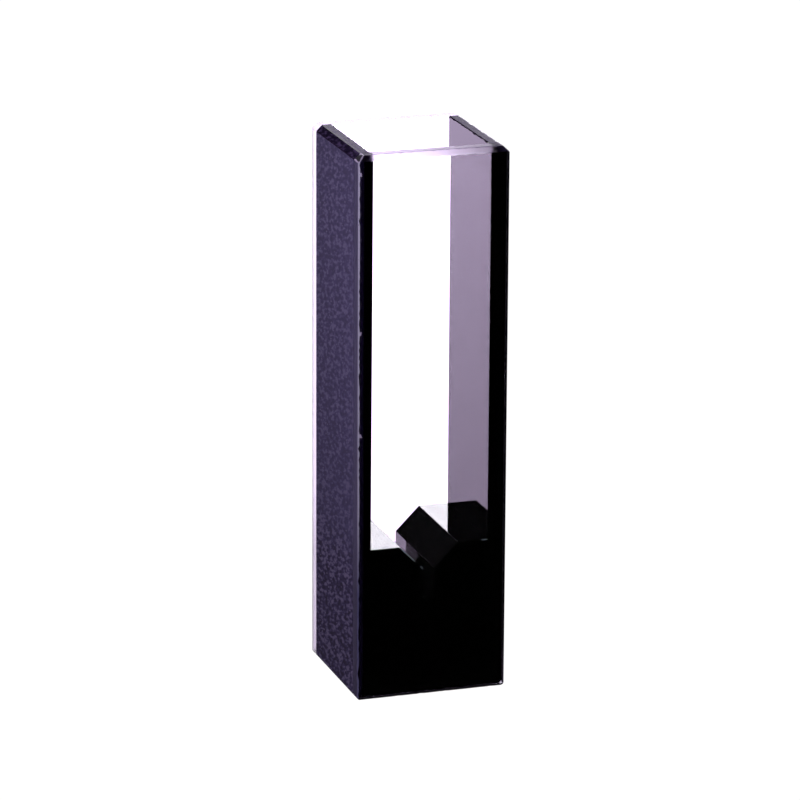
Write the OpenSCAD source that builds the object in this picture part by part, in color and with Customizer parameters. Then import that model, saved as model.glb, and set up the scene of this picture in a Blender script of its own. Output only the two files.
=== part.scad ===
// Self-masking micro cuvette: two clear windows, two black side walls and a black base
// block with a funnelled sample slot, all fused together face to face.
// X runs across the black walls, Y along the light path, and Z is up.
// The origin is the centre of the foot.

/* [Cell] */
// Width over the black side walls
cell_w = 12.5; // [11:0.1:16]
// Depth over both windows, along the light path
cell_d = 12.5; // [8:0.1:16]
// Height from the foot to the rim
cell_h = 45; // [25:0.5:60]

/* [Plates] */
// Thickness of each clear window
window_t = 1.25; // [0.8:0.05:2]
// Thickness of each black side wall
wall_t = 1.3; // [0.8:0.05:2]

/* [Base block] */
// Height of the two polished shelves above the foot
shelf_h = 12.4; // [8:0.1:20]
// Width of the funnel where it opens between the shelves
funnel_w = 4.9; // [2.5:0.1:6.5]
// Depth of the funnel below the shelves
funnel_depth = 2; // [0.5:0.1:3]
// Width of the sample slot under the funnel
slot_w = 0.9; // [0.4:0.1:2]
// Depth of the sample slot below the funnel
slot_depth = 2.5; // [0.5:0.1:4]

/* [Ground edges] */
// Chamfer along the rim of each side wall
wall_rim_chamfer = 0.5; // [0.1:0.05:0.7]
// Chamfer along the rim of each window
window_rim_chamfer = 0.4; // [0.1:0.05:0.7]
// Bevel down the four upright corners
corner_bevel = 0.15; // [0.05:0.05:0.4]
// Bevel around the foot
foot_bevel = 0.2; // [0.05:0.05:0.5]

/* [Hidden] */
// Light path: the inside depth between the windows
path = cell_d - 2 * window_t;
// Inside width between the black walls
bay = cell_w - 2 * wall_t;
// Heights where the funnel ends and where the slot ends
funnel_floor = shelf_h - funnel_depth;
slot_floor = funnel_floor - slot_depth;
// How far a cut runs on past the face that it opens
cut_past = 1;
// Clear fused quartz and black quartz
clear_quartz = [0.86, 0.84, 0.92, 0.3];
black_quartz = [0.07, 0.06, 0.09];

// A rectangle standing on y = 0, with its two low and its two high corners cut at 45 degrees
module cut_rectangle(w, h, low_cut, high_cut) {
    half = [[low_cut, 0], [0, low_cut], [0, h - high_cut], [high_cut, h]];
    left = [for (p = half) [p[0] - w / 2, p[1]]];
    right = [for (i = [len(left) - 1:-1:0]) [-left[i][0], left[i][1]]];
    polygon(concat(left, right));
}

// The outside of the fused cell after its edges are ground
module ground_blank() {
    intersection() {
        linear_extrude(cell_h)
            translate([0, -cell_d / 2])
                cut_rectangle(cell_w, cell_d, corner_bevel, corner_bevel);
        rotate([90, 0, 0])
            linear_extrude(cell_d, center = true)
                cut_rectangle(cell_w, cell_h, foot_bevel, wall_rim_chamfer);
        rotate([90, 0, 90])
            linear_extrude(cell_w, center = true)
                cut_rectangle(cell_d, cell_h, foot_bevel, window_rim_chamfer);
    }
}

// A full-width clear plate that closes the -Y end of the light path
module window() {
    color(clear_quartz)
        intersection() {
            ground_blank();
            translate([-cell_w / 2, -cell_d / 2, 0])
                cube([cell_w, window_t, cell_h]);
        }
}

// A full-height black plate on the -X side, held between the two windows
module wall() {
    color(black_quartz)
        intersection() {
            ground_blank();
            translate([-cell_w / 2, -path / 2, 0])
                cube([wall_t, path, cell_h]);
        }
}

module front_window() {
    window();
}

module back_window() {
    mirror([0, 1, 0])
        window();
}

module left_wall() {
    wall();
}

module right_wall() {
    mirror([1, 0, 0])
        wall();
}

// Section of the groove: a 45 degree funnel that narrows to an upright slot
module groove_outline() {
    half = [
        [slot_w / 2, slot_floor],
        [slot_w / 2, funnel_floor],
        [funnel_w / 2, shelf_h],
        [funnel_w / 2, shelf_h + cut_past]
    ];
    mirrored = [for (i = [len(half) - 1:-1:0]) [-half[i][0], half[i][1]]];
    polygon(concat(half, mirrored));
}

// The black block between the walls and the windows, with the groove along the light path
module base_block() {
    color(black_quartz)
        rotate([90, 0, 0])
            linear_extrude(path, center = true)
                difference() {
                    translate([-bay / 2, 0])
                        square([bay, shelf_h]);
                    groove_outline();
                }
}

front_window();
back_window();
left_wall();
right_wall();
base_block();
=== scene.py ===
import math
import random

import bmesh
import bpy
from mathutils import Matrix, Vector


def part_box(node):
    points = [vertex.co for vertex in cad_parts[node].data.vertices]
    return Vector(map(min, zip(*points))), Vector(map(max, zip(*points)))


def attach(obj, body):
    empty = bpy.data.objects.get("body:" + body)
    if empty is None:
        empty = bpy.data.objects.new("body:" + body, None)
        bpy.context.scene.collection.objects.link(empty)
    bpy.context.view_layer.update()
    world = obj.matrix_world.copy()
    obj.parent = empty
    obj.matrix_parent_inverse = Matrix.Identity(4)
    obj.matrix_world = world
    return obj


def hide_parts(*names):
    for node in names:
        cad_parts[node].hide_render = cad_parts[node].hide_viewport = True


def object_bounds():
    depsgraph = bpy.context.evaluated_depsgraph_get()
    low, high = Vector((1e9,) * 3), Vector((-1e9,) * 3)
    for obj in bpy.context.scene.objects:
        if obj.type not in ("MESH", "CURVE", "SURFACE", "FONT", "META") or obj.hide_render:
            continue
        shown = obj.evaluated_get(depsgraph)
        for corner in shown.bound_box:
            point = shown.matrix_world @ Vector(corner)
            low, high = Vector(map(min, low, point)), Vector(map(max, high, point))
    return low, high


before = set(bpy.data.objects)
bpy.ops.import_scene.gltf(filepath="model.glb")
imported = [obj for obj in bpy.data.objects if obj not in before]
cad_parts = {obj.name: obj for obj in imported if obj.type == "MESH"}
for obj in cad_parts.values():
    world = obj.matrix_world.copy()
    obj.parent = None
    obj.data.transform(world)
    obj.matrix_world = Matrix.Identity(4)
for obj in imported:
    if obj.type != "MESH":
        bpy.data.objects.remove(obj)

# A self-masking micro cuvette: two clear quartz windows fused to two black quartz walls
# and to a black base block that carries the sample slot. Everything is in metres.
MM = 0.001
cad_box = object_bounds()
low_corner, high_corner = cad_box
window_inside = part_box("back_window")[0].y
wall_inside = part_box("right_wall")[0].x
shelf_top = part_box("base_block")[1].z
scene = bpy.context.scene
scene.view_settings.view_transform = "Standard"


def hex_linear(code):
    """An sRGB hex colour as linear RGB, with alpha."""
    parts = [int(code[i:i + 2], 16) / 255 for i in (1, 3, 5)]
    linear = [p / 12.92 if p <= 0.04045 else ((p + 0.055) / 1.055) ** 2.4 for p in parts]
    return (*linear, 1.0)


# ---------------------------------------------------------------- camera
cell_centre = (low_corner + high_corner) / 2
AIM = cell_centre + Vector((-0.725, 0.0, 0.52)) * MM   # the point that the camera looks at
AZIMUTH = math.radians(-18.15)
ELEVATION = math.radians(16.44)
ROLL = math.radians(0.29)
STAND_OFF = 389.7 * MM
LENS = 217.57               # focal length, in millimetres as Blender takes it
SENSOR = 36.0               # sensor width, in the same way
CLIP_FROM, CLIP_TO = 0.01, 10.0     # nothing nearer or further shows

back = Vector((
    math.sin(AZIMUTH) * math.cos(ELEVATION),
    -math.cos(AZIMUTH) * math.cos(ELEVATION),
    math.sin(ELEVATION),
))
level = Vector((0, 0, 1)).cross(back).normalized()
upright = back.cross(level)
right = level * math.cos(ROLL) + upright * math.sin(ROLL)
up = upright * math.cos(ROLL) - level * math.sin(ROLL)
camera_data = bpy.data.cameras.new("camera")
camera_data.lens = LENS
camera_data.sensor_width = SENSOR
camera_data.clip_start = CLIP_FROM
camera_data.clip_end = CLIP_TO
camera = bpy.data.objects.new("camera", camera_data)
scene.collection.objects.link(camera)
turn = Matrix((right, up, back)).transposed().to_4x4()
camera.matrix_world = Matrix.Translation(AIM + back * STAND_OFF) @ turn
scene.camera = camera


# ---------------------------------------------------------------- nodes and materials
# Every pattern is laid in the part's own coordinates, in metres.
QUARTZ_IOR = 1.458
NOISE_LOW, NOISE_HIGH = 0.3, 0.7    # a noise texture's value mostly lies between these
MIX_FACTOR, MIX_FIRST, MIX_SECOND = 0, 6, 7     # a colour mix node's inputs
MIX_RESULT = 2                      # and its output
GRIND_SLANT = math.radians(-15)     # how far the wheel's scratches on the black walls are from level
RIM_LIT_TO = 0.1 * MM       # a window's rim is painted lit to this far short of a wall's inner face,
RIM_DARK_FROM = 0.3 * MM    # and in painted shade from this far behind it
RUBBED_TO = 1.8 * MM        # the polish inside is rubbed to this far below the rim,
UNRUBBED_FROM = 2.6 * MM    # and as new from here down
LEAK_FULL_TO = 0.5 * MM     # the painted glow in the left wall's seam is full to this far from the outside,
LEAK_END = 0.75 * MM        # and ends here


def add_node(tree, kind, sockets=None, **settings):
    """Adds one node: its own settings, then each named socket's value or the output that feeds it."""
    made = tree.nodes.new(kind)
    for key, value in settings.items():
        setattr(made, key, value)
    for key, value in (sockets or {}).items():
        if isinstance(value, bpy.types.NodeSocket):
            tree.links.new(value, made.inputs[key])
        else:
            made.inputs[key].default_value = value
    return made


def new_material(name):
    """A material and its node tree, still empty."""
    material = bpy.data.materials.new(name)
    material.use_nodes = True
    material.node_tree.nodes.clear()
    return material, material.node_tree


def per_size(size_mm):
    """A texture scale that gives features about this many millimetres across."""
    return 1 / (size_mm * MM)


def above_shelf(tree, place, start, end, full=1.0):
    """Grows from 0 to full between two heights, given in millimetres above the shelf."""
    height = add_node(tree, "ShaderNodeSeparateXYZ", {"Vector": place}).outputs["Z"]
    return add_node(tree, "ShaderNodeMapRange", {
        "Value": height, "To Max": full,
        "From Min": shelf_top + start * MM, "From Max": shelf_top + end * MM}).outputs["Result"]


def between_walls(tree, place):
    """1 between the two black walls, 0 over either of them."""
    across = add_node(tree, "ShaderNodeSeparateXYZ", {"Vector": place}).outputs["X"]
    far = add_node(tree, "ShaderNodeMath", {0: across}, operation="ABSOLUTE")
    return add_node(tree, "ShaderNodeMapRange", {
        "Value": far.outputs["Value"],
        "From Min": wall_inside + RIM_DARK_FROM,
        "From Max": wall_inside - RIM_LIT_TO}).outputs["Result"]


def polished_clear_quartz():
    """Clear fused quartz, optically polished: colourless and sharp to look through, and dark of
    reflections head-on, as under a black studio ceiling. The polish has only a trace of waves."""
    material, tree = new_material("polished_clear_quartz")
    place = add_node(tree, "ShaderNodeTexCoord").outputs["Object"]
    wave = add_node(tree, "ShaderNodeTexNoise", {
        "Vector": place, "Scale": per_size(5.0), "Detail": 1.0})
    rough = add_node(tree, "ShaderNodeMapRange", {
        "Value": wave.outputs["Fac"], "To Min": 0.0, "To Max": 0.004})
    relief = add_node(tree, "ShaderNodeBump", {
        "Height": wave.outputs["Fac"], "Strength": 0.02, "Distance": 0.002 * MM})
    skin = add_node(tree, "ShaderNodeBsdfPrincipled", {
        "Base Color": hex_linear("#ffffff"), "Roughness": rough.outputs["Result"],
        "IOR": QUARTZ_IOR, "Specular Tint": hex_linear("#000000"), "Transmission Weight": 1.0,
        "Normal": relief.outputs["Normal"]})
    add_node(tree, "ShaderNodeOutputMaterial", {"Surface": skin.outputs["BSDF"]})
    return material


def ground_clear_quartz(name, dim, lit, rough, clear, gloss="#ffffff", is_rim=False):
    """Clear fused quartz, ground: a frosting that scatters the light that it lets through. Its colour is
    painted light and shade: the lit colour where light comes through the window beside it, and the dim
    one, painted shade, where black quartz lies behind it. Rough is the range of its roughness, and clear
    how much light it passes."""
    material, tree = new_material(name)
    place = add_node(tree, "ShaderNodeTexCoord").outputs["Object"]
    # The real grit is about 0.02 mm; it is drawn at 0.12 mm so that it shows.
    grit = add_node(tree, "ShaderNodeTexNoise", {
        "Vector": place, "Scale": per_size(0.12), "Detail": 4.0, "Roughness": 0.7})
    dull = add_node(tree, "ShaderNodeMapRange", {
        "Value": grit.outputs["Fac"], "From Min": NOISE_LOW, "From Max": NOISE_HIGH,
        "To Min": rough[0], "To Max": rough[1]})
    relief = add_node(tree, "ShaderNodeBump", {
        "Height": grit.outputs["Fac"], "Strength": 0.3, "Distance": 0.002 * MM})
    # Painted light and shade: the colour is lit above the shelf, or over the chamber on a rim, and dim, as
    # painted shade, below it or over the walls.
    light = between_walls(tree, place) if is_rim else above_shelf(tree, place, start=-3.5, end=3.0)
    tint = add_node(tree, "ShaderNodeMix", {
        MIX_FACTOR: light, MIX_FIRST: hex_linear(dim), MIX_SECOND: hex_linear(lit)},
        data_type="RGBA")
    skin = add_node(tree, "ShaderNodeBsdfPrincipled", {
        "Base Color": tint.outputs[MIX_RESULT], "Roughness": dull.outputs["Result"],
        "IOR": QUARTZ_IOR, "Specular Tint": hex_linear(gloss), "Transmission Weight": clear,
        "Normal": relief.outputs["Normal"]})
    add_node(tree, "ShaderNodeOutputMaterial", {"Surface": skin.outputs["BSDF"]})
    return material


def ground_black_quartz(name, pit, body, grain, veil, sheen):
    """Black quartz from a coarse wheel: a dull dark violet skin, with darker pits and pale grains.
    Above the shelf a painted veil of light lies over the grain."""
    material, tree = new_material(name)
    place = add_node(tree, "ShaderNodeTexCoord").outputs["Object"]
    # The wheel ran across the cell at a slant, and drew its grain out. The real grit is about
    # 0.03 mm; it is drawn at 0.28 mm so that it shows, and its bright flecks at 0.4 mm.
    along = add_node(tree, "ShaderNodeMapping", {
        "Vector": place, "Rotation": (GRIND_SLANT, 0.0, 0.0), "Scale": (1.0, 2.5, 1.0)},
        vector_type="TEXTURE")
    mottle = add_node(tree, "ShaderNodeTexNoise", {
        "Vector": along.outputs["Vector"], "Scale": per_size(0.28), "Detail": 1.0, "Roughness": 0.5})
    fleck = add_node(tree, "ShaderNodeTexVoronoi", {
        "Vector": along.outputs["Vector"], "Scale": per_size(0.4)})
    colour = add_node(tree, "ShaderNodeValToRGB", {"Fac": mottle.outputs["Fac"]})
    low, middle = colour.color_ramp.elements
    low.position = 0.34
    low.color = hex_linear(pit)
    middle.position = 0.5
    middle.color = hex_linear(body)
    colour.color_ramp.elements.new(0.66).color = hex_linear(grain)
    glint = add_node(tree, "ShaderNodeMapRange", {
        "Value": fleck.outputs["Distance"], "From Min": 0.26, "From Max": 0.1})
    flecked = add_node(tree, "ShaderNodeMix", {
        MIX_FACTOR: glint.outputs["Result"], MIX_FIRST: colour.outputs["Color"],
        MIX_SECOND: hex_linear(grain)}, data_type="RGBA")
    # Painted light: above the shelf the colour is veiled towards a paler one.
    veiled = add_node(tree, "ShaderNodeMix", {
        MIX_FACTOR: above_shelf(tree, place, start=-2.5, end=1.5, full=0.4),
        MIX_FIRST: flecked.outputs[MIX_RESULT], MIX_SECOND: hex_linear(veil)}, data_type="RGBA")
    dull = add_node(tree, "ShaderNodeMapRange", {
        "Value": mottle.outputs["Fac"], "From Min": NOISE_LOW, "From Max": NOISE_HIGH,
        "To Min": 0.4, "To Max": 0.54})
    relief = add_node(tree, "ShaderNodeBump", {
        "Height": mottle.outputs["Fac"], "Strength": 1.0, "Distance": 0.03 * MM})
    skin = add_node(tree, "ShaderNodeBsdfPrincipled", {
        "Base Color": veiled.outputs[MIX_RESULT], "Roughness": dull.outputs["Result"],
        "IOR": QUARTZ_IOR, "Specular IOR Level": sheen, "Normal": relief.outputs["Normal"]})
    add_node(tree, "ShaderNodeOutputMaterial", {"Surface": skin.outputs["BSDF"]})
    return material


def glossy_black_quartz(name, colour, dullest, relief_strength, sheen, gloss):
    """Black quartz with a glassy skin, from an optical polish to a fresh chip: it mirrors the bright
    table at a glance. It is a little duller beside the rim, where the lap that flattened it rubbed."""
    material, tree = new_material(name)
    place = add_node(tree, "ShaderNodeTexCoord").outputs["Object"]
    height = add_node(tree, "ShaderNodeSeparateXYZ", {"Vector": place}).outputs["Z"]
    shine = add_node(tree, "ShaderNodeMapRange", {
        "Value": height, "To Min": sheen, "To Max": sheen * 0.8,
        "From Min": high_corner.z - UNRUBBED_FROM, "From Max": high_corner.z - RUBBED_TO})
    wave = add_node(tree, "ShaderNodeTexNoise", {
        "Vector": place, "Scale": per_size(3.0), "Detail": 2.0})
    rough = add_node(tree, "ShaderNodeMapRange", {
        "Value": wave.outputs["Fac"], "To Min": 0.01, "To Max": dullest})
    relief = add_node(tree, "ShaderNodeBump", {
        "Height": wave.outputs["Fac"], "Strength": relief_strength, "Distance": 0.01 * MM})
    skin = add_node(tree, "ShaderNodeBsdfPrincipled", {
        "Base Color": hex_linear(colour), "Roughness": rough.outputs["Result"],
        "IOR": QUARTZ_IOR, "Specular IOR Level": shine.outputs["Result"],
        "Specular Tint": hex_linear(gloss), "Normal": relief.outputs["Normal"]})
    add_node(tree, "ShaderNodeOutputMaterial", {"Surface": skin.outputs["BSDF"]})
    return material


def fused_black_quartz():
    """The black end of a wall or block where it is fused to the glass: no air between, so no sheen.
    A narrow navy glow is painted into the colour along the outer edge of the left wall: painted light, for
    light that leaks into the seam."""
    material, tree = new_material("fused_black_quartz")
    place = add_node(tree, "ShaderNodeTexCoord").outputs["Object"]
    across = add_node(tree, "ShaderNodeSeparateXYZ", {"Vector": place}).outputs["X"]
    haze = add_node(tree, "ShaderNodeTexNoise", {
        "Vector": place, "Scale": per_size(0.5), "Detail": 3.0})
    leak = add_node(tree, "ShaderNodeMapRange", {
        "Value": across, "To Max": 0.8,
        "From Min": low_corner.x + LEAK_END, "From Max": low_corner.x + LEAK_FULL_TO})
    glow = add_node(tree, "ShaderNodeMath", {
        0: leak.outputs["Result"], 1: haze.outputs["Fac"]}, operation="MULTIPLY")
    tint = add_node(tree, "ShaderNodeMix", {
        MIX_FACTOR: glow.outputs["Value"], MIX_FIRST: hex_linear("#000000"),
        MIX_SECOND: hex_linear("#272039")}, data_type="RGBA")
    skin = add_node(tree, "ShaderNodeBsdfPrincipled", {
        "Base Color": tint.outputs[MIX_RESULT], "Roughness": 1.0,
        "IOR": QUARTZ_IOR, "Specular IOR Level": 0.0})
    add_node(tree, "ShaderNodeOutputMaterial", {"Surface": skin.outputs["BSDF"]})
    return material


FINISH = {
    # The faces to look through: colourless and sharp.
    "polished_clear": polished_clear_quartz(),
    # The back window's rim, and the foot bevel at the front one's right: soft and white, as the
    # frosting fills with light.
    "rim_clear": ground_clear_quartz(
        "fine_ground_clear_quartz", dim="#fbfafd", lit="#fbfafd",
        rough=(0.76, 0.86), clear=1.0, gloss="#140e24"),
    # The chamfers of the front window's rim: painted light, white over the chamber, and painted shade, dark
    # violet over the walls.
    "front_rim_clear": ground_clear_quartz(
        "lapped_clear_quartz", dim="#3c3550", lit="#fbfafd",
        rough=(0.76, 0.86), clear=1.0, gloss="#140e24", is_rim=True),
    # The flat of the same rim: the same painted light and shade, but milkier, so it stays violet over the
    # walls.
    "rim_top_clear": ground_clear_quartz(
        "lapped_flat_clear_quartz", dim="#7c6c95", lit="#fbfafd",
        rough=(0.76, 0.86), clear=0.8, gloss="#140e24", is_rim=True),
    # The back window's sides and bevels: a pale grey-green frost, in painted shade below the shelf.
    "side_clear": ground_clear_quartz(
        "wheel_ground_clear_quartz", dim="#a0a69c", lit="#ced2ca", rough=(0.84, 0.96), clear=0.99),
    # The front window's left side, which has no light behind it: a slate-violet frost whose darkness is
    # painted shade, deepest below the shelf.
    "shaded_clear": ground_clear_quartz(
        "shaded_ground_clear_quartz", dim="#3e4160", lit="#8688ac",
        rough=(0.84, 0.96), clear=0.95, gloss="#bcbce4"),
    # The front window's foot bevels and right side: nearly black, painted shade, as they are in shadow.
    "painted_shade_foot_clear": ground_clear_quartz(
        "painted_shade_foot_clear_quartz", dim="#0c0b10", lit="#0c0b10",
        rough=(0.3, 0.4), clear=0.98, gloss="#140e24"),
    # The left corner's bevel: a pale, half glossy line down the cell; its paleness is painted light above
    # the shelf, turning to painted shade below it.
    "bevel_clear": ground_clear_quartz(
        "hand_ground_clear_quartz", dim="#62688a", lit="#c7cfd4", rough=(0.25, 0.4), clear=0.65),
    # The chipped arrises of the windows: a light grey, broken line.
    "chipped_clear": ground_clear_quartz(
        "chipped_clear_quartz", dim="#bcb8c6", lit="#bcb8c6", rough=(0.4, 0.6), clear=0.5),
    # The outsides of the walls: dark and grainy.
    "ground_black": ground_black_quartz(
        "wheel_ground_black_quartz", pit="#13101f", body="#2d2b3f", grain="#585665",
        veil="#414155", sheen=0.003),
    # The flats of their rims: an even, dull violet, lighter than the sides as painted light.
    "rim_black": ground_black_quartz(
        "fine_ground_black_quartz_painted_light", pit="#3a2f47", body="#463b57", grain="#5c5272",
        veil="#504662", sheen=0.01),
    # The chamfers of their rims: almost black, with a fine pale grain; darker than the sides as painted
    # shade.
    "chamfer_black": ground_black_quartz(
        "lapped_black_quartz_painted_shade", pit="#06040c", body="#1c1726", grain="#4a4159",
        veil="#1c1726", sheen=0.0),
    # The chipped arrises of the walls: warm black, with small shining facets.
    "chipped_black": glossy_black_quartz(
        "chipped_black_quartz", colour="#1a1220", dullest=0.25, relief_strength=0.6,
        sheen=0.02, gloss="#ffffff"),
    # The inside of the chamber: a black mirror.
    "polished_black": glossy_black_quartz(
        "polished_black_quartz", colour="#000000", dullest=0.03, relief_strength=0.01,
        sheen=0.27, gloss="#000000"),
    # The faces that are fused to the windows: a black without any sheen.
    "fused_black": fused_black_quartz(),
    # The hairlines where the glass wetted the block: a thin grey-green line, a painted glint.
    "wetted_seam_painted_glint": glossy_black_quartz(
        "wetted_seam_painted_glint_quartz", colour="#647674", dullest=0.25, relief_strength=0.6,
        sheen=0.02, gloss="#ffffff"),
}


# ---------------------------------------------------------------- pieces
FUSED_LAP = 0.004 * MM      # the black end faces lie this far inside the glass, with no air between
RIM_ARRIS = 0.08 * MM       # width of the chipped arris on the front window's rim
FINE_ARRIS = 0.015 * MM     # and on the back window's, and on the base block
BLACK_ARRIS = 0.09 * MM     # and on the edges of the two walls
NICK_STEP = 0.3 * MM        # spacing of the points along a ragged edge
DEEP_NICKS = 0.03           # share of the points that are nicked deeply
DEEP_NICK = 0.5             # the least depth of such a nick, as a share of the arris
DEEP_NICK_SPREAD = 0.8      # and how much deeper it may be
SEAM_BEAD = 0.16 * MM       # black quartz that ran out along the left wall's front seam
WETTED_LINE = 0.07 * MM     # hairline where the molten glass wetted the edges of the block, with a painted glint
WETTED_SHELF = 0.5 * MM     # and its length at the right end of the shelf
WETTED_SLOPE = (0.0, 0.62)  # where it lies on the slot's left slope, as shares of the slope's run
WETTED_BEAD = (0.88, 0.97)  # and the bead in which it ends, near the slot
SLACK = 0.01 * MM           # places closer than this count as one
WELD = 0.0001 * MM          # points closer than this are one point
FLAT_ANGLE = math.radians(0.5)  # faces that meet at less than this are one flat face
SHARP_ANGLE = math.radians(30)  # edges that turn by more than this are broken to an arris
CHIPPED, WETTED_GLINT = 1, 2      # marks on faces; every other face has mark 0
chance = random.Random(12)

# How much of a face's normal lies along an axis, at the least, when the face is turned
SQUARE = 0.99       # straight that way
MAINLY = 0.8        # mainly that way
HALFWAY = 0.5       # two ways alike, as a slope of 45 degrees is
PARTLY = 0.3        # partly that way, as a chamfer is
SLIGHTLY = 0.2      # a little that way


def near(a, b):
    """Whether two coordinates are at one place."""
    return abs(a - b) < SLACK


def split_evenly(edge, start, count):
    """Cuts an edge into count parts and gives the new points in order from start."""
    points = []
    end = edge.other_vert(start)
    for i in range(count - 1):
        _, point = bmesh.utils.edge_split(edge, start, 1 / (count - i))
        points.append(point)
        edge = min(point.link_edges, key=lambda e: (e.other_vert(point).co - end.co).length)
        start = point
    return points


def nick(points, inward, depth):
    """Moves points inward by chance, most of them a little and a few deeply."""
    for point in points:
        bite = chance.random() ** 3
        if chance.random() < DEEP_NICKS:
            bite += DEEP_NICK + DEEP_NICK_SPREAD * chance.random()
        point.co += inward * (bite * depth)


def ragged(strips, depth):
    """Breaks each long arris face into short runs and nicks its two sides, each within its broad face."""
    for strip in strips:
        sides = sorted(strip.edges, key=lambda e: -e.calc_length())[:2]
        if len(strip.verts) != 4 or sides[1].calc_length() < 2 * NICK_STEP:
            continue
        run = (sides[0].verts[1].co - sides[0].verts[0].co).normalized()
        count = max(2, round(sides[0].calc_length() / NICK_STEP))
        rows = []
        for edge in sides:
            broad = next(f for f in edge.link_faces if f is not strip)
            inward = broad.normal.cross(run).normalized()
            if inward.dot(broad.calc_center_median() - edge.verts[0].co) < 0:
                inward.negate()
            start = min(edge.verts, key=lambda v: v.co.dot(run))
            points = split_evenly(edge, start, count)
            nick(points, inward, depth)
            rows.append(points)
        face = strip
        for i, (a, b) in enumerate(zip(*rows)):
            other, _ = bmesh.utils.face_split(face, a, b)
            if i + 1 < len(rows[0]) and rows[0][i + 1] in other.verts[:]:
                face = other


def finish_of_window(normal, centre, mark):
    """Polished on its two faces, fine-ground on the rim, wheel-ground on the sides and frosted on
    the arrises."""
    if abs(normal.y) > SQUARE:
        return "polished_clear"
    if mark == CHIPPED:
        if abs(normal.x) > SLIGHTLY and abs(normal.z) < SLIGHTLY and centre.y < 0:
            return "bevel_clear" if normal.x < -MAINLY else "painted_shade_foot_clear"
        if normal.y < -MAINLY and normal.z > SLIGHTLY:
            return "front_rim_clear"
        return "painted_shade_foot_clear" if normal.z < -SLIGHTLY else "chipped_clear"
    if centre.y > 0:
        return "rim_clear" if normal.z > PARTLY else "side_clear"
    if normal.z < -PARTLY and normal.x > PARTLY:
        return "rim_clear"
    if normal.z < -PARTLY or (normal.x > PARTLY and normal.z < PARTLY):
        return "painted_shade_foot_clear"
    if normal.x < -PARTLY and normal.y < -PARTLY and normal.z < PARTLY:
        return "bevel_clear"
    if normal.x < -SQUARE:
        return "shaded_clear"
    return "rim_top_clear" if normal.z > SQUARE else "front_rim_clear"


def finish_of_black(normal, centre, mark):
    """Polished where it faces the chamber, fused where it meets the glass, ground everywhere else."""
    if mark == WETTED_GLINT:
        return "wetted_seam_painted_glint"
    if near(abs(centre.y), window_inside + FUSED_LAP):
        return "fused_black"
    if mark == CHIPPED:
        return "chipped_black"
    in_bay = abs(centre.x) < wall_inside + SLACK
    if in_bay and centre.z > SLACK:
        return "polished_black"
    if normal.z > PARTLY and abs(normal.x) > PARTLY:
        return "chamfer_black"
    return "rim_black" if normal.z > SQUARE else "ground_black"


def cut_through(bm, spot, normal):
    """Cuts every face that a plane crosses."""
    everything = bm.verts[:] + bm.edges[:] + bm.faces[:]
    bmesh.ops.bisect_plane(bm, geom=everything, plane_co=spot, plane_no=normal)


def add_bead(bm, size):
    """Draws the wall's inner front edge out along the window, to a small bead in the corner."""
    cut_y = -window_inside + size
    cut_through(bm, (0, cut_y, 0), (0, 1, 0))
    for vert in bm.verts:
        if vert.co.y < cut_y - SLACK and near(vert.co.x, -wall_inside) and vert.co.z > shelf_top:
            vert.co.x += size


def wet_edge(bm, mark, face, stretches):
    """Marks hairlines, which carry a painted glint, on the front end of the block, along stretches of the
    front edge of an upper face.
    """
    facing = face.normal.copy()
    cut = face.calc_center_median() - facing * WETTED_LINE
    cut_through(bm, cut, facing)
    for x in {x for stretch in stretches for x in stretch}:
        cut_through(bm, (x, 0, 0), (1, 0, 0))
    for strip in bm.faces:
        centre = strip.calc_center_median()
        beside = 0 < (centre - cut).dot(facing) < WETTED_LINE
        reached = any(start < centre.x < end for start, end in stretches)
        if beside and reached and near(centre.y, -window_inside - FUSED_LAP):
            strip[mark] = WETTED_GLINT


def wet_block(bm, mark):
    """The molten glass wetted two edges of the block: the slot's left slope, down to a bead near the
    slot, and the right end of the shelf. The light lines there are painted glints."""
    slope = next(f for f in bm.faces
                 if min(f.normal.x, f.normal.z) > HALFWAY and f.calc_center_median().x < 0)
    top = min(v.co.x for v in slope.verts)
    run = max(v.co.x for v in slope.verts) - top
    wet_edge(bm, mark, slope, [(top + start * run, top + end * run)
                               for start, end in (WETTED_SLOPE, WETTED_BEAD)])
    flats = [f for f in bm.faces if f.normal.z > SQUARE]
    shelf = max(flats, key=lambda f: f.calc_center_median().x)
    wet_edge(bm, mark, shelf, [(wall_inside - WETTED_SHELF, wall_inside)])


def solid_of(node):
    """A node's CAD solid as an editable mesh of whole flat faces."""
    bm = bmesh.new()
    bm.from_mesh(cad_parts[node].data)
    bmesh.ops.remove_doubles(bm, verts=bm.verts, dist=WELD)
    bmesh.ops.dissolve_limit(bm, angle_limit=FLAT_ANGLE, verts=bm.verts, edges=bm.edges)
    bm.normal_update()
    return bm


def edges_to_break(bm, fused):
    """The sharp edges that get an arris. Black pieces keep the edges of their fused ends, and
    windows keep their upright edges, apart from those of the outer face."""
    chosen = []
    for edge in bm.edges:
        a, b = (vert.co for vert in edge.verts)
        if fused:
            kept = near(a.y, b.y) and near(abs(a.y), window_inside)
        else:
            kept = near(a.x, b.x) and near(a.y, b.y) and not near(abs(a.y), high_corner.y)
        if edge.is_convex and not kept and edge.calc_face_angle() > SHARP_ANGLE:
            chosen.append(edge)
    return chosen


def finished_object(bm, name, finish_of, mark):
    """An object of the mesh, with each face in its own finish."""
    kinds = []
    for face in bm.faces:
        kind = finish_of(face.normal, face.calc_center_median(), face[mark])
        if kind not in kinds:
            kinds.append(kind)
        face.material_index = kinds.index(kind)
        face.smooth = False
    mesh = bpy.data.meshes.new(name)
    bm.to_mesh(mesh)
    bm.free()
    for kind in kinds:
        mesh.materials.append(FINISH[kind])
    made = bpy.data.objects.new(name, mesh)
    scene.collection.objects.link(made)
    return made


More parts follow.
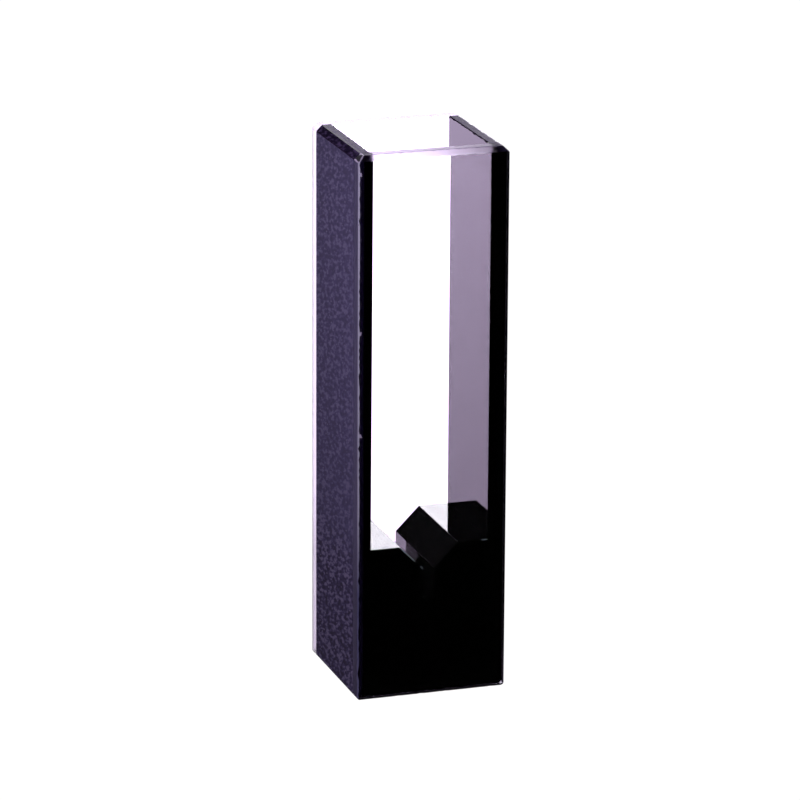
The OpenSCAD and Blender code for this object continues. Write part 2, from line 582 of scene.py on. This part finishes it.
def dress(node, name, finish_of, arris, fused=False, bead=0.0, wetted=False):
    """Makes the finished piece of one CAD node: the same solid, with its real edges and finishes."""
    bm = solid_of(node)
    mark = bm.faces.layers.int.new("mark")
    made = bmesh.ops.bevel(
        bm, geom=edges_to_break(bm, fused), offset=arris, offset_type="WIDTH", segments=1,
        profile=0.5, affect="EDGES", clamp_overlap=True)
    for face in made["faces"]:
        face[mark] = CHIPPED
    bm.normal_update()
    if fused:
        for vert in bm.verts:
            if near(abs(vert.co.y), window_inside):
                vert.co.y += math.copysign(FUSED_LAP, vert.co.y)
    if bead:
        add_bead(bm, bead)
    ragged(list(made["faces"]), arris)
    bm.normal_update()
    if wetted:
        wet_block(bm, mark)
    piece = finished_object(bm, name, finish_of, mark)
    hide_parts(node)
    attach(piece, "root")


dress("front_window", "window_front", finish_of_window, RIM_ARRIS)
dress("back_window", "window_back", finish_of_window, FINE_ARRIS)
dress("left_wall", "wall_left", finish_of_black, BLACK_ARRIS, fused=True, bead=SEAM_BEAD)
dress("right_wall", "wall_right", finish_of_black, BLACK_ARRIS, fused=True)
dress("base_block", "slotted_block", finish_of_black, FINE_ARRIS, fused=True, wetted=True)


# ---------------------------------------------------------------- table, backdrop and light
LIT_TINT = (1.24, 1.0, 1.46, 1.0)       # the lit paper is over-bright and slightly violet
SOFTBOX_TINT = (1.04, 1.0, 1.1, 1.0)
NEUTRAL = (1.0, 1.0, 1.0, 1.0)
TABLE_RADIUS = 1.1
BACKDROP_RADIUS = 1.3
SHEET_STEP = 0.01 * MM      # height between one sheet on the table and the next
PAPER_DIM_TO = 0.02         # the lit paper is dimmest as far as this from the foot,
PAPER_BRIGHT_FROM = 0.19    # and brightest from here outward
PAPER_DIM, PAPER_BRIGHT = 1.12, 2.3
WHITE_PAPER = 1.04          # just over white
MIRRORED_IN_FRONT = 0.15    # how bright the mirrored sheet is in front of the cell, as a share
DARK = 0.02                 # a black card's glow
BACKDROP_GLOW = 1.5
CARD_SIZE = 0.5             # from the black card's middle to its corners
CARD_REACH = 1.5            # how near its left corner comes to the cell, in half widths of the cell
BOX_AZIMUTH, BOX_ELEVATION = math.radians(18), math.radians(16)
BOX_CORE, BOX_EDGE = math.radians(18), math.radians(26)     # its full light and its end, as half angles
BOX_LIGHT, ROOM_LIGHT = 6.2, 0.03


def stage_object(name, bm, material, camera=True, diffuse=True, glossy=True, transmission=True):
    """A piece of the studio, and which rays see it."""
    mesh = bpy.data.meshes.new(name)
    bm.to_mesh(mesh)
    bm.free()
    mesh.materials.append(material)
    made = bpy.data.objects.new(name, mesh)
    scene.collection.objects.link(made)
    made.visible_camera = camera
    made.visible_diffuse = diffuse
    made.visible_glossy = glossy
    made.visible_transmission = transmission
    made.visible_shadow = diffuse


def lit_paper(name, in_front):
    """White paper whose glow is painted light, as if lit from behind the cell: brighter further from the
    foot, with painted shade close to it, and in front of the cell only this bright as a share of the rest.
    It turns to that from the cell's middle forward."""
    material, tree = new_material(name)
    place = add_node(tree, "ShaderNodeTexCoord").outputs["Object"]
    far = add_node(tree, "ShaderNodeVectorMath", {0: place}, operation="LENGTH")
    ramp = add_node(tree, "ShaderNodeMapRange", {
        "Value": far.outputs["Value"], "From Min": PAPER_DIM_TO, "From Max": PAPER_BRIGHT_FROM,
        "To Min": PAPER_DIM, "To Max": PAPER_BRIGHT})
    behind = add_node(tree, "ShaderNodeSeparateXYZ", {"Vector": place}).outputs["Y"]
    shade = add_node(tree, "ShaderNodeMapRange", {
        "Value": behind, "From Min": 2 * low_corner.y, "From Max": 0.0, "To Min": in_front})
    strength = add_node(tree, "ShaderNodeMath", {
        0: ramp.outputs["Result"], 1: shade.outputs["Result"]}, operation="MULTIPLY")
    glow = add_node(tree, "ShaderNodeEmission", {
        "Color": LIT_TINT, "Strength": strength.outputs["Value"]})
    add_node(tree, "ShaderNodeOutputMaterial", {"Surface": glow.outputs["Emission"]})
    return material


def even_glow(name, strength, tint=LIT_TINT):
    """A studio surface that is equally bright all over."""
    material, tree = new_material(name)
    glow = add_node(tree, "ShaderNodeEmission", {"Color": tint, "Strength": strength})
    add_node(tree, "ShaderNodeOutputMaterial", {"Surface": glow.outputs["Emission"]})
    return material


def paper_disc(steps):
    """A round sheet of paper as large as the table, this many steps under the cell's foot."""
    disc = bmesh.new()
    bmesh.ops.create_circle(
        disc, cap_ends=True, segments=96, radius=TABLE_RADIUS,
        matrix=Matrix.Translation((0, 0, low_corner.z - steps * SHEET_STEP)))
    return disc


def black_card():
    """A black card on the table, to the right of the cell and out of the picture, which keeps the
    cell's right edge dark. One of its corners points at the cell."""
    card = bmesh.new()
    bmesh.ops.create_circle(
        card, cap_ends=True, segments=4, radius=CARD_SIZE, matrix=Matrix.Translation(
            (CARD_SIZE + high_corner.x * CARD_REACH, 0, low_corner.z - SHEET_STEP)))
    return card


def foot_shadow():
    """The shadow in which the foot stands. Only the bevels around the foot show it."""
    shadow = bmesh.new()
    corners = [(x, y, low_corner.z - SHEET_STEP) for x, y in (
        (low_corner.x, low_corner.y), (high_corner.x, low_corner.y),
        (high_corner.x, high_corner.y), (low_corner.x, high_corner.y))]
    shadow.faces.new([shadow.verts.new(corner) for corner in corners])
    return shadow


def backdrop_shell():
    """A round backdrop that closes the studio in."""
    shell = bmesh.new()
    bmesh.ops.create_uvsphere(shell, u_segments=48, v_segments=24, radius=BACKDROP_RADIUS)
    return shell


# Beside the cell the camera sees a plain white sheet. Through the glass a glowing one shows, whose painted
# light is dimmer near the foot, and mirrors show one that glows the same but dim in front, so that the
# front window mirrors next to nothing.
stage_object("table_paper", paper_disc(2), even_glow("white_paper", WHITE_PAPER, NEUTRAL),
             diffuse=False, glossy=False, transmission=False)
stage_object("lit_table_paper", paper_disc(3), lit_paper("lit_paper", 1.0),
             camera=False, diffuse=False, glossy=False)
stage_object("mirrored_table_paper", paper_disc(4), lit_paper("mirrored_paper", MIRRORED_IN_FRONT),
             camera=False, diffuse=False, transmission=False)
stage_object("black_card", black_card(), even_glow("black_card", DARK), camera=False, diffuse=False)
stage_object("foot_shadow", foot_shadow(), even_glow("foot_shadow", DARK), camera=False, diffuse=False)
stage_object("backdrop", backdrop_shell(), even_glow("lit_backdrop", BACKDROP_GLOW),
             diffuse=False, glossy=False, transmission=False)


def studio_world():
    """A dark studio with one large softbox behind the cell."""
    world = bpy.data.worlds.new("studio")
    scene.world = world
    world.use_nodes = True
    tree = world.node_tree
    tree.nodes.clear()
    ray = add_node(tree, "ShaderNodeTexCoord").outputs["Generated"]
    to_box = (
        math.sin(BOX_AZIMUTH) * math.cos(BOX_ELEVATION),
        math.cos(BOX_AZIMUTH) * math.cos(BOX_ELEVATION),
        math.sin(BOX_ELEVATION),
    )
    facing = add_node(tree, "ShaderNodeVectorMath", {0: ray, 1: to_box}, operation="DOT_PRODUCT")
    box = add_node(tree, "ShaderNodeMapRange", {
        "Value": facing.outputs["Value"], "From Min": math.cos(BOX_EDGE),
        "From Max": math.cos(BOX_CORE), "To Min": ROOM_LIGHT, "To Max": BOX_LIGHT})
    glow = add_node(tree, "ShaderNodeBackground", {
        "Color": SOFTBOX_TINT, "Strength": box.outputs["Result"]})
    add_node(tree, "ShaderNodeOutputWorld", {"Surface": glow.outputs["Background"]})


def add_softbox(name, spot, size, power):
    """A square area light at spot, turned to the cell."""
    data = bpy.data.lights.new(name, "AREA")
    data.shape = "SQUARE"
    data.size = size
    data.energy = power
    data.color = LIT_TINT[:3]
    lamp = bpy.data.objects.new(name, data)
    scene.collection.objects.link(lamp)
    lamp.location = spot
    lamp.rotation_euler = (cell_centre - Vector(spot)).to_track_quat("-Z", "Y").to_euler()
    lamp.visible_camera = False
    lamp.visible_glossy = False


# Besides the large softbox: a small key light close by at the front left, and soft light from above.
studio_world()
add_softbox("key", spot=(-0.056, -0.036, 0.055), size=0.03, power=0.04)
add_softbox("overhead", spot=(0.05, -0.1, 0.7), size=0.4, power=0.3)
